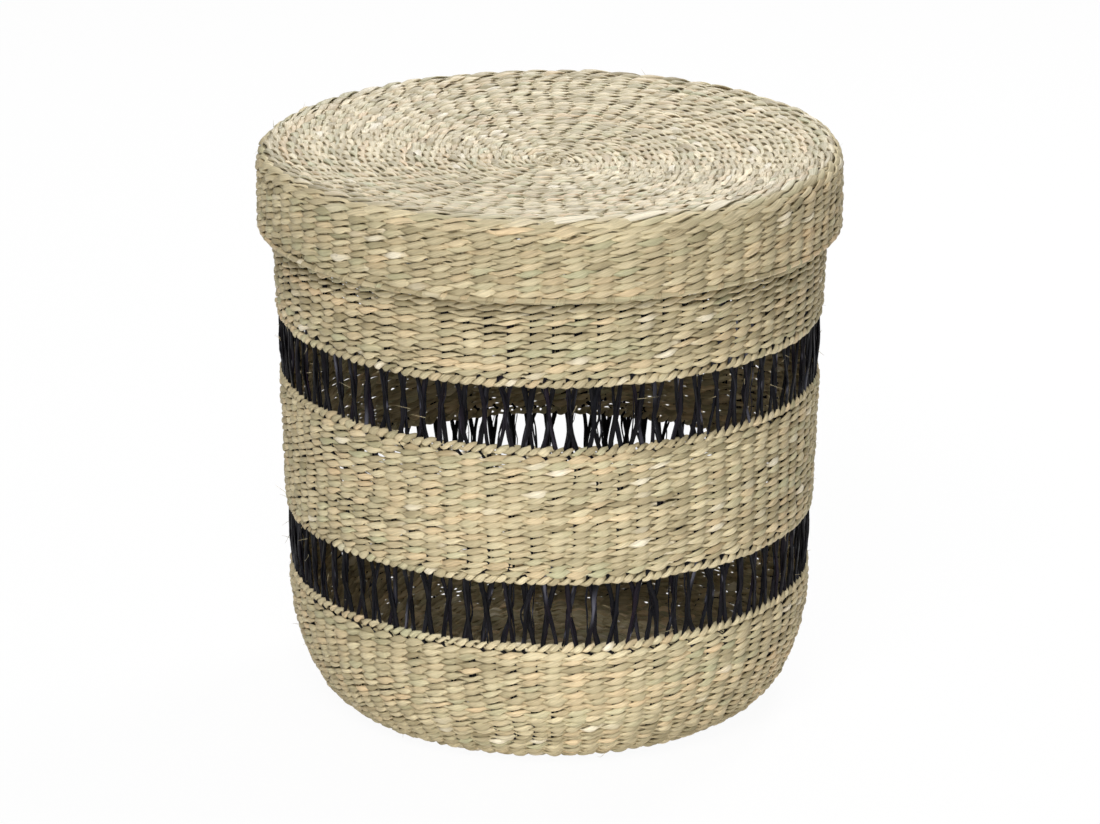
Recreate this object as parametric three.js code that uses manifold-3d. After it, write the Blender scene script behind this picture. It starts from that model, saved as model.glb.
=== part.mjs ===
import * as THREE from 'three';
import { mergeVertices } from 'three/addons/utils/BufferGeometryUtils.js';
import Module from 'manifold-3d';

// Round twined seagrass basket with a lift-off lid and two openwork bands.
// Millimetres, +Z up. The origin is on the floor, under the middle of the base.

// Body, from the floor up to the mouth
const wallThickness = 5.5;
const baseRadius = 118;
const cornerHeight = 79.2;
const wallFootRadius = 158.5;
const mouthRadius = 168;
const middleWallHeight = 74.5;
const upperWallHeight = 85.3;
const rimHeight = 5.2;
const rimBulge = 0.6;

// Openwork: pairs of strands that cross once between two half-pitch courses
const strandPairs = 80;
const strandWidth = 2.7;
const strandThickness = 1.8;
const strandRootDepth = 2.2;
const strandSpread = 6.3;
const strandSideGap = 0.3;
const courseHeight = 4.4;
const lowerBandHeight = 38.1;
const upperBandHeight = 37.4;

// Lid
const lidThickness = 5.5;
const lidClearance = 1.5;
const lidHeight = 50;
const lidDish = 12;
const shoulderRadius = 6.2;
const shoulderBand = 9;
const lidBorderHeight = 3.4;
const lidBorderBulge = 0.5;
const lidStartRadius = 7;
const lidStartRise = 1.2;
const lidStartDimple = 1.6;
const lidStartDimpleRadius = 2;

// Running gap between pieces that rest on one another
const seatGap = 0.3;

// Number of steps round the axis and along a curved outline
const roundSteps = 40;
const cornerSteps = 6;
const shoulderSteps = 4;
const dishSteps = 4;

// Colours
const naturalGrass = { color: 0xb9ac86, roughness: 0.75, metalness: 0 };
const paleGrass = { color: 0xc8bc98, roughness: 0.75, metalness: 0 };
const dyedGrass = { color: 0x1b1a20, roughness: 0.5, metalness: 0 };

const wasm = await Module();
wasm.setup();

// Heights of the stacked courses
const lowerCourseBottom = cornerHeight + seatGap;
const lowerBandBottom = lowerCourseBottom + courseHeight;
const lowerBandTop = lowerBandBottom + lowerBandHeight;
const middleWallBottom = lowerBandTop + courseHeight + seatGap;
const middleWallTop = middleWallBottom + middleWallHeight;
const upperBandBottom = middleWallTop + seatGap + courseHeight;
const upperBandTop = upperBandBottom + upperBandHeight;
const upperWallBottom = upperBandTop + courseHeight + seatGap;
const upperWallTop = upperWallBottom + upperWallHeight;
const rimBottom = upperWallTop + seatGap;
const rimTop = rimBottom + rimHeight;

// Outside radius of the body above its rounded corner
function bodyRadius(height) {
  const rise = (height - cornerHeight) / (rimTop - cornerHeight);
  return THREE.MathUtils.lerp(wallFootRadius, mouthRadius, rise);
}

// Outline points round a quarter of an ellipse, from its side to its end
function quarter(centre, across, along, steps) {
  const points = [];
  for (let i = 0; i <= steps; i += 1) {
    const angle = (i / steps) * (Math.PI / 2);
    points.push([centre[0] + across * Math.cos(angle), centre[1] + along * Math.sin(angle)]);
  }
  return points;
}

// Solid of revolution about Z. The outline runs anticlockwise in radius and height.
function revolve(outline) {
  const points = outline.map(([radius, height]) => new THREE.Vector2(radius, height));
  const closed = outline.some(([radius]) => radius === 0) ? points : [...points, points[0].clone()];
  return new THREE.LatheGeometry(closed, roundSteps).rotateX(Math.PI / 2);
}

function solidOf(geometry) {
  const bare = geometry.clone();
  bare.deleteAttribute('normal');
  bare.deleteAttribute('uv');
  const merged = mergeVertices(bare, 1e-4);
  return new wasm.Manifold(new wasm.Mesh({
    numProp: 3,
    vertProperties: Float32Array.from(merged.attributes.position.array),
    triVerts: Uint32Array.from(merged.index.array),
  }));
}

function geometryOf(solid) {
  const mesh = solid.getMesh();
  const geometry = new THREE.BufferGeometry();
  geometry.setAttribute('position', new THREE.BufferAttribute(mesh.vertProperties, 3));
  geometry.setIndex(new THREE.BufferAttribute(mesh.triVerts, 1));
  return geometry;
}

// Bar whose flat section stays level and faces the axis at every station
function levelBar(stations, width, thickness) {
  const vertices = [];
  for (const { radius, angle, height } of stations) {
    const outward = new THREE.Vector3(Math.cos(angle), Math.sin(angle), 0);
    const sideways = new THREE.Vector3(-Math.sin(angle), Math.cos(angle), 0);
    for (const [side, out] of [[-1, -1], [-1, 1], [1, 1], [1, -1]]) {
      const corner = outward.clone().multiplyScalar(radius + (out * thickness) / 2);
      corner.addScaledVector(sideways, (side * width) / 2);
      vertices.push(corner.x, corner.y, height);
    }
  }
  const faces = [];
  for (let station = 0; station + 1 < stations.length; station += 1) {
    for (let corner = 0; corner < 4; corner += 1) {
      const here = station * 4 + corner;
      const beside = station * 4 + ((corner + 1) % 4);
      faces.push(here, beside, here + 4, beside, beside + 4, here + 4);
    }
  }
  const last = (stations.length - 1) * 4;
  faces.push(0, 2, 1, 0, 3, 2, last, last + 1, last + 2, last, last + 2, last + 3);
  const bar = new THREE.BufferGeometry();
  bar.setAttribute('position', new THREE.Float32BufferAttribute(vertices, 3));
  bar.setIndex(faces);
  return bar;
}

// One strand of a crossing pair. It leans to one side and passes in front of
// or behind its partner at mid height, clear of it where their edges overlap.
function crossingStrand(bandBottom, bandTop, pairAngle, lean) {
  const middle = (bandBottom + bandTop) / 2;
  const strandRadius = (height) => bodyRadius(height) - wallThickness / 2;
  const halfSpread = strandSpread / 2 / strandRadius(middle);
  const swing = (strandThickness + strandSideGap) / (1 - strandWidth / strandSpread) / 2;
  const upright = (height, angle) => ({ radius: strandRadius(height), angle, height });
  return levelBar([
    upright(bandBottom - strandRootDepth, pairAngle - lean * halfSpread),
    upright(bandBottom, pairAngle - lean * halfSpread),
    { radius: strandRadius(middle) + lean * swing, angle: pairAngle, height: middle },
    upright(bandTop, pairAngle + lean * halfSpread),
    upright(bandTop + strandRootDepth, pairAngle + lean * halfSpread),
  ], strandWidth, strandThickness);
}

// Plain stretch of woven wall
function wall(bottom, top) {
  return revolve([
    [bodyRadius(bottom) - wallThickness, bottom],
    [bodyRadius(bottom), bottom],
    [bodyRadius(top), top],
    [bodyRadius(top) - wallThickness, top],
  ]);
}

// Band of crossing strands between the two half-pitch courses that hold their ends
function openwork(bandBottom, bandTop) {
  const lowerCourse = solidOf(wall(bandBottom - courseHeight, bandBottom));
  let net = lowerCourse.add(solidOf(wall(bandTop, bandTop + courseHeight)));
  for (const lean of [-1, 1]) {
    for (let pair = 0; pair < strandPairs; pair += 1) {
      const angle = (pair / strandPairs) * 2 * Math.PI;
      net = net.add(solidOf(crossingStrand(bandBottom, bandTop, angle, lean)));
    }
  }
  return geometryOf(net);
}

// Flat disc that the basket stands on
function base() {
  return revolve([
    [0, 0],
    [baseRadius, 0],
    [baseRadius, wallThickness],
    [0, wallThickness],
  ]);
}

// Rounded corner between the base and the wall, an even shell
function lowerWall() {
  const start = baseRadius + seatGap;
  const reach = wallFootRadius - start;
  const turn = ([radius, height]) => [radius, 2 * cornerHeight - height];
  const outer = quarter([start, cornerHeight], reach, cornerHeight, cornerSteps).map(turn);
  const inner = quarter(
    [start, cornerHeight],
    reach - wallThickness,
    cornerHeight - wallThickness,
    cornerSteps,
  ).map(turn);
  return revolve([...outer.reverse(), ...inner]);
}

// Rolled border round the mouth
function rim() {
  const outside = bodyRadius(rimTop);
  const inside = outside - wallThickness;
  const middle = (rimBottom + rimTop) / 2;
  return revolve([
    [inside, rimBottom],
    [outside, rimBottom],
    [outside + rimBulge, middle],
    [outside, rimTop],
    [inside, rimTop],
    [inside - rimBulge, middle],
  ]);
}

// Lid sizes that follow the part of the body it covers
const coveredRadius = Math.max(mouthRadius, bodyRadius(rimTop - lidHeight));
const lidRadius = coveredRadius + lidClearance + lidThickness;
const crestRadius = lidRadius - shoulderRadius;
const rimInside = mouthRadius - wallThickness;

// Depth of the dished top under its crest
function dishDepth(radius) {
  return lidDish * (1 - (radius / crestRadius) ** 2);
}

const crestHeight = rimTop + seatGap + lidThickness + dishDepth(rimInside);
const lidBottom = crestHeight - lidHeight;
const lidSkirtBottom = lidBottom + lidBorderHeight + seatGap;

function dishPoints(from, to, drop) {
  const points = [];
  for (let i = 0; i <= dishSteps; i += 1) {
    const radius = THREE.MathUtils.lerp(from, to, i / dishSteps);
    points.push([radius, crestHeight - dishDepth(radius) - drop]);
  }
  return points;
}

const lidTopEdge = crestRadius - shoulderBand;

function lidTop() {
  const hole = lidStartRadius + seatGap;
  const upper = dishPoints(hole, lidTopEdge, 0).reverse();
  const lower = dishPoints(hole, lidTopEdge, lidThickness);
  return revolve([...lower, ...upper]);
}

// Small button where the lid's weaving starts, with a dimple in its middle
function lidStart() {
  const top = crestHeight - dishDepth(lidStartRadius);
  return revolve([
    [0, top - lidThickness],
    [lidStartRadius, top - lidThickness],
    [lidStartRadius, top],
    [(lidStartRadius + lidStartDimpleRadius) / 2, top + lidStartRise],
    [lidStartDimpleRadius, top],
    [0, top - lidStartDimple],
  ]);
}

// Outer band of the top, the rounded shoulder and the upright skirt
function lidSkirt() {
  const start = lidTopEdge + seatGap;
  const centre = [crestRadius, crestHeight - shoulderRadius];
  const shoulder = quarter(centre, shoulderRadius, shoulderRadius, shoulderSteps);
  const inside = lidRadius - lidThickness;
  return revolve([
    [start, crestHeight - dishDepth(start) - lidThickness],
    [crestRadius, crestHeight - lidThickness],
    [inside, centre[1]],
    [inside, lidSkirtBottom],
    [lidRadius, lidSkirtBottom],
    ...shoulder,
    [start, crestHeight - dishDepth(start)],
  ]);
}

// Hoop bound to the lid's lower edge
function lidBorder() {
  const inside = lidRadius - lidThickness;
  const top = lidBottom + lidBorderHeight;
  return revolve([
    [inside, lidBottom],
    [lidRadius, lidBottom],
    [lidRadius + lidBorderBulge, (lidBottom + top) / 2],
    [lidRadius, top],
    [inside, top],
  ]);
}

const basket = new THREE.Group();

function addPiece(name, geometry, look) {
  const mesh = new THREE.Mesh(geometry, new THREE.MeshStandardMaterial(look));
  mesh.name = name;
  basket.add(mesh);
}

addPiece('base_weave', base(), naturalGrass);
addPiece('lower_wall_weave', lowerWall(), naturalGrass);
addPiece('lower_openwork', openwork(lowerBandBottom, lowerBandTop), dyedGrass);
addPiece('middle_wall_weave', wall(middleWallBottom, middleWallTop), naturalGrass);
addPiece('upper_openwork', openwork(upperBandBottom, upperBandTop), dyedGrass);
addPiece('upper_wall_weave', wall(upperWallBottom, upperWallTop), naturalGrass);
addPiece('rim_border', rim(), naturalGrass);
addPiece('lid_top_weave', lidTop(), paleGrass);
addPiece('lid_start_button', lidStart(), paleGrass);
addPiece('lid_skirt_weave', lidSkirt(), naturalGrass);
addPiece('lid_border', lidBorder(), naturalGrass);

export default basket;
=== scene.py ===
import math

import bpy
import numpy as np
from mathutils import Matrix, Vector


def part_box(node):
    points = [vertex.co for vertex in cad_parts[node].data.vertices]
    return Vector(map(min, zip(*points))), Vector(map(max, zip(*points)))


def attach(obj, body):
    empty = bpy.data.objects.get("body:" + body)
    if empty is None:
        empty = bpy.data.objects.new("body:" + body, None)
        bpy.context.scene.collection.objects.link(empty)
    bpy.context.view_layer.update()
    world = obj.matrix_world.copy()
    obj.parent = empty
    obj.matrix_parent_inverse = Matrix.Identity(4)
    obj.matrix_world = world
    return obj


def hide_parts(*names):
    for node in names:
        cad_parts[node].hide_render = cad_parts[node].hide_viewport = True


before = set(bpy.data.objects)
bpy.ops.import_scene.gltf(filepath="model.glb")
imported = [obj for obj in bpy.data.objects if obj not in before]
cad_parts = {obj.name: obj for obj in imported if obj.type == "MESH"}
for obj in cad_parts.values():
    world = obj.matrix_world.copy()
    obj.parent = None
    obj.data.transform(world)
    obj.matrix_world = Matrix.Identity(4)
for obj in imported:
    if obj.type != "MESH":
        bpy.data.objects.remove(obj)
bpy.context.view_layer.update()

# A round basket and lid of two-strand twining, in metres. Every row of weaving is
# two flattened grass strands that twist round each other and round the upright
# strands, half a turn for each stitch.

MM = 0.001
SEED = 41

# Rows. The stitches of a ring grow in steps, each from a radius on.
ROW_PITCH = 4.14 * MM
UPPER_ROW_PITCH = 4.6 * MM
RING_STITCHES = ((0, 10), (18 * MM, 16), (34 * MM, 26), (56 * MM, 40), (88 * MM, 60), (134 * MM, 80))
LID_START_RUN = 1.15 * ROW_PITCH
BASE_START_RUN = 0.4 * ROW_PITCH
START_SIZE = 0.62
START_SIZE_REACH = 60 * MM
WALL_PHASE = 0.25

# Twist of the two strands of a row
TWIST_DEPTH = 1.5 * MM
TWIST_RISE = 1.15 * MM
END_TILT = 0.5

# Section of a strand, which is narrow and thin where it crosses its partner
STRAND_HALF_WIDTH = 2.34 * MM
STRAND_HALF_THICKNESS = 1.2 * MM
CROSSING_SHARPNESS = 4
CROSSING_WIDTH_SHARE = 0.54
CROSSING_WIDTH_SPREAD = 0.1
CROSSING_THICKNESS_SHARE = 0.65
EDGE_ROW_CROSSING_SHARE = 0.5
EDGE_ROW_DIP = 0.5 * MM
STITCH_STEPS = 10
SECTION_STEPS = 8
SQUARENESS = 0.92
# Painted shade on the inward faces of every strand, for the shade inside the basket and the lid
INNER_PAINTED_SHADE = 0.35

# Rows of each part. Lean slants the stitches, and plumpness makes them round rather than flat.
WALL_BREADTH = 0.96
BASE_PLUMPNESS = 0.8
BASE_RISE = 0.5 * MM
LID_BREADTH = 1.1
LID_PLUMPNESS = 0.68
LID_LEAN = 1.5
LID_CROSSING_SHARE = 0.69
LID_JITTER = 0.13
LID_BULGE_SPREAD = 0.3 * MM
SHOULDER_LEAN = 1.35
SHOULDER_CROSSING_SHARE = 0.68
SHOULDER_PLUMPNESS = 0.72
SHOULDER_GIRTH_SPREAD = 0.2
SKIRT_LEAN = 1.2
SKIRT_CROSSING_SHARE = 0.61

# Half-pitch courses that hold the ends of the openwork
COURSE_HEIGHT = 4.4 * MM
COURSE_SIZE = 0.85
COURSE_LEAN = 1.7
COURSE_CROSSING_SHARE = 0.62
COURSE_OFFSET = 0.1 * MM
COURSE_PLUMPNESS = 0.88
COURSE_PHASE = 0.5

# Unevenness of hand work
WIDTH_SPREAD = 0.1
GIRTH_SPREAD = 0.08
RISE_SPREAD = 0.27 * MM
BULGE_SPREAD = 0.26 * MM
CREASE_SPREAD = 0.1
COLUMN_WANDER = 0.16
STITCH_JITTER = 0.075
ROW_SIZE_SPREAD = 0.055
LOOSENESS = 0.095
UPPER_LOOSENESS = 0.13
LID_LOOSENESS = 0.07
LOOSE_PLACES_SHARE = 0.5
LOOSE_STITCH_SPREAD = 1.3
SLACK_LIMITS = (-0.6, 2.8)
SLACK_SQUEEZE = 4
SQUEEZE_LIMITS = (0.6, 1.6)
ROW_WANDER = 0.45 * MM
QUICK_WANDER_SHARE = 0.5
WANDER_LEVELS = 64
WALL_WANDER = 0.9 * MM
WALL_WAVES = (2, 3, 5, 7)
WALL_FADE_PER_METRE = 9
WALL_TURN_PER_METRE = 6

# Tints of a strand, slow and from stitch to stitch
SHADE_SPREADS = (0.17, 0.13)
WARMTH_SPREADS = (0.5, 0.22)
CREAM_CHANCE = 0.03
LEAST_CREAM = 0.3
STITCHES_PER_TINT = 6
SHORT_STRAND_TINTS = 12

# Rows over the lid's shoulder: pitch, number of stitches and lightness of each
INNER_SHOULDER_ROWS = ((3.9 * MM, 74, 0), (4.3 * MM, 66, -0.08), (4.3 * MM, 60, -0.16))
OUTER_SHOULDER_ROWS = ((4.2 * MM, 60, 0.22), (4.1 * MM, 66, 0.12))
SHOULDER_START = 9.4 * MM

# Broad pale leaves on the lid's shoulder: degrees round the lid, half length and half width of each
BROAD_LEAVES = ((-85.5, 17 * MM, 2.8 * MM), (-71.5, 17 * MM, 3 * MM), (-55.5, 11 * MM, 2.6 * MM))
BROAD_LEAF_STEPS = 25
BROAD_LEAF_DROP = 2.2 * MM
BROAD_LEAF_ENDS_LIFT = 0.4
BROAD_LEAF_ARCH = 1.7
BROAD_LEAF_TIP = 0.12
BROAD_LEAF_HALF_THICKNESS = 0.35 * MM

# Upright strands, in pairs
PAIRS = 80
PAIR_HALF_GAP = 1.1 * MM
UPRIGHT_HALF_WIDTH = 1.05 * MM
UPRIGHT_HALF_THICKNESS = 0.6 * MM
UPRIGHT_START_SHARE = 0.12
CORNER_STATIONS = 18
BAND_STATIONS = 26
STATION_GAP = 8 * MM
SHORT_STATION_GAP = 5 * MM
SPOKE_STEP = 4 * MM
SPOKE_OVERLAP = 3 * MM

# Flat strands that cross under the start of the base
CROSS_STRIPS = 6
CROSS_REACH = 16 * MM
CROSS_STEPS = 12
CROSS_LAYER = 0.22
CROSS_HALF_WIDTH = 0.9 * MM
CROSS_HALF_THICKNESS = 0.3 * MM

# Dyed strands in the openwork. The pairs are middle and spread, or least and most.
BAND_HALF_WIDTH = 1.25 * MM
BAND_HALF_THICKNESS = 0.7 * MM
HOLD_SHARE = 0.24
HOLD_BLEND = 0.14
FURTHEST_SPREAD = 1.2
CROSSING_OFFSET = 0.85 * MM
CROSSING_PLACES = (0.36, 0.66)
BOTTOM_SPREAD = (3.1, 0.45)
TOP_SPREAD = (2.5, 0.6)
TIGHTNESS = (0.8, 2.0)
CROSSING_SHIFT = 1.2
STRAND_ROLL = 0.5
FOLD_SPREAD = 0.4
RIBBON_WIDTH_SPREAD = 0.15
RIBBON_KNOTS = 14
SPLIT_HALF_WIDTH = 0.62 * MM
SPLIT_HALF_THICKNESS = 0.45 * MM
SPLIT_DISTANCES = (0.7, 1.6)
SPLIT_ROLL = 0.7
STRAY_FIBRES = 90
STRAY_STEPS = 14
STRAY_HALF_WIDTH = 0.3 * MM
STRAY_HALF_THICKNESS = 0.2 * MM
STRAY_DISTANCES = (1.2, 4.2)
STRAY_ROLL = 0.3

# Hoops and their lashings
HOOP_SAG = 0.12
HOOP_HEIGHT_SHARE = 0.8
LID_HOOP_RISE = 0.6 * MM
LID_HOOP_DEPTH_SHARE = 0.9
LASHING_STEPS = 16
LASHING_JITTER = 0.06
LASHING_LEAN = (0.8, 0.3)
LASHING_DEPTH_SHARE = 1.05
LASHING_HEIGHT_SHARE = 0.95
LASHING_HALF_WIDTHS = (1.7, 2.5)
LASHING_HALF_THICKNESS = 0.3 * MM

# Short hairs
HAIRS = 260
HAIR_STEPS = 7
HAIR_LENGTHS = (2, 8)
HAIR_HALF_WIDTH = 0.13 * MM
HAIR_TAPER = 1.3
HAIR_ROOT = 1.5 * MM
HAIR_LEAST_RADIUS = 20 * MM

# Dish of the lid's top, and its shoulder, which is rounder than the one of the solids
LID_DISH = 12 * MM
SHOULDER_RADIUS = 9.5 * MM
DISH_STEPS = 60
SHOULDER_STEPS = 12

# The most faces that one piece holds
PIECE_FACES = 88000

low = {name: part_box(name)[0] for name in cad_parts}
high = {name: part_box(name)[1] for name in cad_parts}
wall = high["base_weave"].z - low["base_weave"].z
half_wall = wall / 2
foot_radius, foot_height = high["lower_wall_weave"].x, high["lower_wall_weave"].z
neck_radius, neck_height = high["upper_wall_weave"].x, high["upper_wall_weave"].z
lid_radius, crest_height = high["lid_skirt_weave"].x, high["lid_skirt_weave"].z
crest_radius = lid_radius - SHOULDER_RADIUS
lid_bottom = low["lid_border"].z
start_radius = high["lid_start_button"].x
rng = np.random.default_rng(SEED)


# Outlines, as points of radius and height along the middle of the weaving

class Outline:
    """Middle line of a wall of weaving. side is 1 where its outer face lies to the right of its run."""

    def __init__(self, points, side):
        self.points = np.array(points, float)
        self.side = side
        steps = np.linalg.norm(np.diff(self.points, axis=0), axis=1)
        self.lengths = np.concatenate([[0], np.cumsum(steps)])
        self.total = self.lengths[-1]

    def at(self, run):
        """Place, direction and outward direction at that run along the line."""
        place = np.array([np.interp(run, self.lengths, self.points[:, i]) for i in (0, 1)])
        reach = ROW_PITCH / 2
        ahead = [np.interp(run + reach, self.lengths, self.points[:, i]) for i in (0, 1)]
        behind = [np.interp(run - reach, self.lengths, self.points[:, i]) for i in (0, 1)]
        along = np.subtract(ahead, behind)
        along /= np.linalg.norm(along)
        outward = self.side * np.array([along[1], -along[0]])
        return place, along, outward


def quarter(centre, across, up, start, end, steps=40):
    """Points of a quarter of an ellipse."""
    angles = np.linspace(start, end, steps)
    return [(centre[0] + across * math.cos(a), centre[1] + up * math.sin(a)) for a in angles]


def wall_radius(height):
    """Radius of the middle of the body's wall above its rounded corner."""
    share = (height - foot_height) / (neck_height - foot_height)
    return foot_radius + share * (neck_radius - foot_radius) - half_wall


base_radius = high["base_weave"].x
base_height = half_wall + BASE_RISE
base_outline = Outline([(0, base_height), (base_radius, base_height)], 1)
corner_outline = Outline(quarter(
    (base_radius, foot_height), foot_radius - half_wall - base_radius, foot_height - base_height,
    -math.pi / 2, 0), 1)


def wall_outline(bottom, top):
    return Outline([(wall_radius(bottom), bottom), (wall_radius(top), top)], 1)


def dish_height(radius):
    return crest_height - half_wall - LID_DISH * (1 - (radius / crest_radius) ** 2)


shoulder = SHOULDER_RADIUS - half_wall
dish = [(r, dish_height(r)) for r in np.linspace(0, crest_radius, DISH_STEPS)]
skirt_end = low["lid_skirt_weave"].z
bend = quarter((crest_radius, crest_height - SHOULDER_RADIUS), shoulder, shoulder, math.pi / 2, 0,
               SHOULDER_STEPS)
lid_outline = Outline(dish + bend[1:] + [(lid_radius - half_wall, skirt_end)], -1)


# Random quantities that run smoothly round a ring

def eased(share):
    """Share from 0 to 1 that starts and ends slowly."""
    return share * share * (3 - 2 * share)


def ring_value(values, places):
    """Smooth value at each place of a ring of values that sit at the whole numbers."""
    below = np.floor(places).astype(int)
    part = eased(places - below)
    count = len(values)
    return values[below % count] * (1 - part) + values[(below + 1) % count] * part


# The later draws count on two sets of phases, and the wall takes the first
wall_phases = rng.uniform(0, 2 * math.pi, (2, len(WALL_WAVES)))[0]


def wall_wander(angle, level):
    """Slow drift of the whole wall off its true round form, at an angle and a height."""
    drift = sum(
        np.cos(phase + level * WALL_FADE_PER_METRE)
        * np.sin(wave * angle + phase + level * WALL_TURN_PER_METRE) / wave
        for wave, phase in zip(WALL_WAVES, wall_phases))
    return WALL_WANDER * drift


class Wander:
    """A drift that neighbouring rows share, so that they stay beside each other.

    cells is the number of its knots round a ring, and rows_per_cell how many rows lie between knots.
    """

    def __init__(self, cells, rows_per_cell):
        self.cells = cells
        self.rows_per_cell = rows_per_cell
        self.table = rng.normal(0, 1, (WANDER_LEVELS, cells))

    def at(self, angle, row):
        place = row / self.rows_per_cell
        below = math.floor(place)
        part = eased(place - below)
        around = angle / (2 * math.pi) * self.cells
        lower = ring_value(self.table[below % WANDER_LEVELS], around)
        upper = ring_value(self.table[(below + 1) % WANDER_LEVELS], around)
        return lower * (1 - part) + upper * part


slow_wander = Wander(14, 5)
quick_wander = Wander(46, 2)
column_wander = Wander(22, 4)
loose_places = Wander(18, 4)


# Meshes of many tubes

class Bundle:
    """Gathers flat-section tubes, and makes them into pieces of a limited size."""

    def __init__(self):
        self.parts = []
        self.strands = 0

    def tube(self, path, wide, thin, half_width, half_thickness, along, tint, closed, creases=None):
        """One strand. wide and thin are the directions of its section at each point."""
        count = len(path)
        turn = np.arange(SECTION_STEPS) / SECTION_STEPS * 2 * math.pi
        across = np.sign(np.cos(turn)) * np.abs(np.cos(turn)) ** SQUARENESS
        through = np.sign(np.sin(turn)) * np.abs(np.sin(turn)) ** SQUARENESS
        half_width = np.broadcast_to(half_width, count)
        half_thickness = np.broadcast_to(half_thickness, count)
        offset_wide = half_width[:, None] * across[None, :]
        offset_thin = half_thickness[:, None] * through[None, :]
        if creases is not None:
            offset_thin = offset_thin * creases
        points = (path[:, None, :] + wide[:, None, :] * offset_wide[:, :, None]
                  + thin[:, None, :] * offset_thin[:, :, None])
        self.strands += 1
        run = along + self.strands * 0.37
        grain = np.stack([
            np.repeat(run[:, None], SECTION_STEPS, 1), offset_wide, offset_thin], axis=2)
        tints = np.repeat(tint[:, None, :], SECTION_STEPS, 1)
        # Painted shade: faces turned inward are drawn darker, standing in for the shade that falls inside
        # the basket and the lid
        tints[:, :, 0] -= INNER_PAINTED_SHADE * np.clip(-through, 0, 1)
        rows = count if closed else count - 1
        i = np.arange(rows)[:, None]
        j = np.arange(SECTION_STEPS)[None, :]
        after = (i + 1) % count
        beside = (j + 1) % SECTION_STEPS
        quads = np.stack(np.broadcast_arrays(
            i * SECTION_STEPS + j, i * SECTION_STEPS + beside,
            after * SECTION_STEPS + beside, after * SECTION_STEPS + j), axis=2).reshape(-1, 4)
        self.parts.append((points.reshape(-1, 3), grain.reshape(-1, 3), tints.reshape(-1, 3),
                           quads, None if closed else count))

    def make(self, name, look, body, nodes):
        """Makes the gathered tubes into one or more pieces that stand for the CAD nodes."""
        groups = [[]]
        faces = 0
        for part in self.parts:
            if faces + len(part[3]) > PIECE_FACES and groups[-1]:
                groups.append([])
                faces = 0
            groups[-1].append(part)
            faces += len(part[3])
        for number, group in enumerate(groups):
            label = name if len(groups) == 1 else f"{name}_{number + 1}"
            piece = tube_mesh(label, group)
            piece.data.materials.append(look)
            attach(piece, body)
            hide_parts(*nodes)


def tube_mesh(name, parts):
    """One mesh of the tubes, with closed ends, and with the grain and the tint that the materials read."""
    points = np.concatenate([p[0] for p in parts]).astype(np.float32)
    grain = np.concatenate([p[1] for p in parts]).astype(np.float32)
    tint = np.concatenate([p[2] for p in parts]).astype(np.float32)
    quads, ends = [], []
    start = 0
    for part in parts:
        quads.append(part[3] + start)
        if part[4] is not None:
            ring = np.arange(SECTION_STEPS)
            ends.append(start + ring[::-1])
            ends.append(start + (part[4] - 1) * SECTION_STEPS + ring)
        start += len(part[0])
    corners = np.concatenate([np.concatenate(quads).ravel()] + ends).astype(np.int32)
    quad_count = sum(len(q) for q in quads)
    sizes = np.concatenate([np.full(quad_count, 4), np.full(len(ends), SECTION_STEPS)])
    mesh = bpy.data.meshes.new(name)
    mesh.vertices.add(len(points))
    mesh.vertices.foreach_set("co", points.ravel())
    mesh.loops.add(len(corners))
    mesh.loops.foreach_set("vertex_index", corners)
    mesh.polygons.add(len(sizes))
    starts = np.concatenate([[0], np.cumsum(sizes)[:-1]]).astype(np.int32)
    mesh.polygons.foreach_set("loop_start", starts)
    mesh.update(calc_edges=True)
    mesh.shade_smooth()
    mesh.attributes.new("grain", "FLOAT_VECTOR", "POINT").data.foreach_set("vector", grain.ravel())
    mesh.attributes.new("tint", "FLOAT_VECTOR", "POINT").data.foreach_set("vector", tint.ravel())
    piece = bpy.data.objects.new(name, mesh)
    bpy.context.scene.collection.objects.link(piece)
    return piece


# Strands of grass

def strand_tint(stitches, places):
    """Shade, warmth and creaminess of a strand, which change along it and from stitch to stitch."""
    lengths = max(3, stitches // STITCHES_PER_TINT)
    slow_places = places / stitches * lengths
    shade = ring_value(rng.normal(0.5, SHADE_SPREADS[0], lengths), slow_places)
    shade += ring_value(rng.normal(0, SHADE_SPREADS[1], stitches), places)
    warmth = ring_value(rng.normal(0, WARMTH_SPREADS[0], lengths), slow_places)
    warmth += ring_value(rng.normal(0, WARMTH_SPREADS[1], stitches), places)
    is_cream = (rng.random(stitches) < CREAM_CHANCE).astype(float)
    cream = ring_value(is_cream * rng.uniform(LEAST_CREAM, 1, stitches), places)
    return np.stack([shade, warmth, cream], axis=1)


def short_tint(count):
    """Tint at each of the points of an open strand."""
    return strand_tint(SHORT_STRAND_TINTS, np.linspace(0, SHORT_STRAND_TINTS - 1, count))


def directions(path, closed):
    """Unit direction of a path at each of its points."""
    if closed:
        step = np.roll(path, -1, 0) - np.roll(path, 1, 0)
    else:
        step = np.gradient(path, axis=0)
    return step / np.linalg.norm(step, axis=1)[:, None]


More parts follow.
